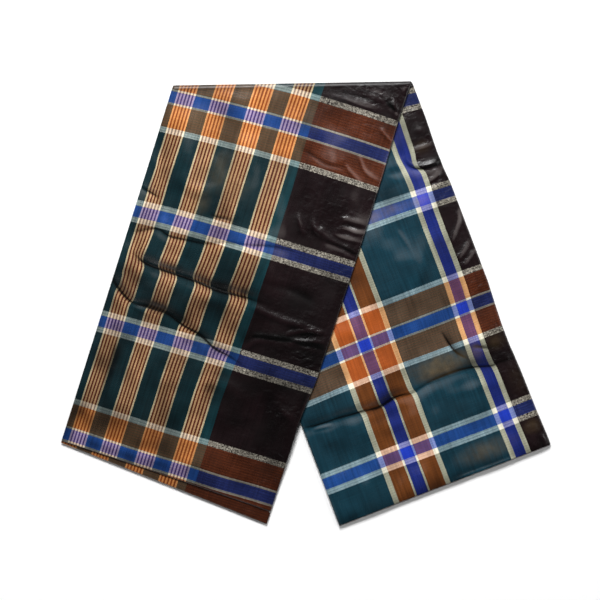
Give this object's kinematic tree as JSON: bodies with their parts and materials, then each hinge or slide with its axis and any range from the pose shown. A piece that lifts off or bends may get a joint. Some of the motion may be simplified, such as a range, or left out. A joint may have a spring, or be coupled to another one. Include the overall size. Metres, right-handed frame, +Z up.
{
  "type": "folded plaid longyi sarong",
  "caption": "Plaid cotton sarong tube folded lengthwise into a flat band, then folded once across and laid with its two arms spread.",
  "frame": {"origin": "on the surface it lies on, under the middle of its outline seen from above", "axes": "+Z up, away from the surface it lies on. +Y towards the fold that joins the two arms. +X towards the end of the under arm"},
  "size_m": [0.6616, 0.6004, 0.0125],
  "materials": {
    "outer_face": "glazed plain-weave cotton plaid: black, dark green, tan stripes, brown and blue bars",
    "inner_face": "glazed plain-weave cotton plaid: dark teal with blue, orange and cream columns",
    "second_leaf": "glazed plain-weave cotton, red-brown bar with tan stripes",
    "hidden_layers": "leaf folds and selvedges of the same cotton"
  },
  "bodies": {
    "root": {"over_stretch": "outer_face", "under_stretch": "inner_face", "over_second_leaf": "second_leaf", "over_hidden_layers": "hidden_layers", "under_hidden_layers": "hidden_layers"}
  },
  "joints": []
}
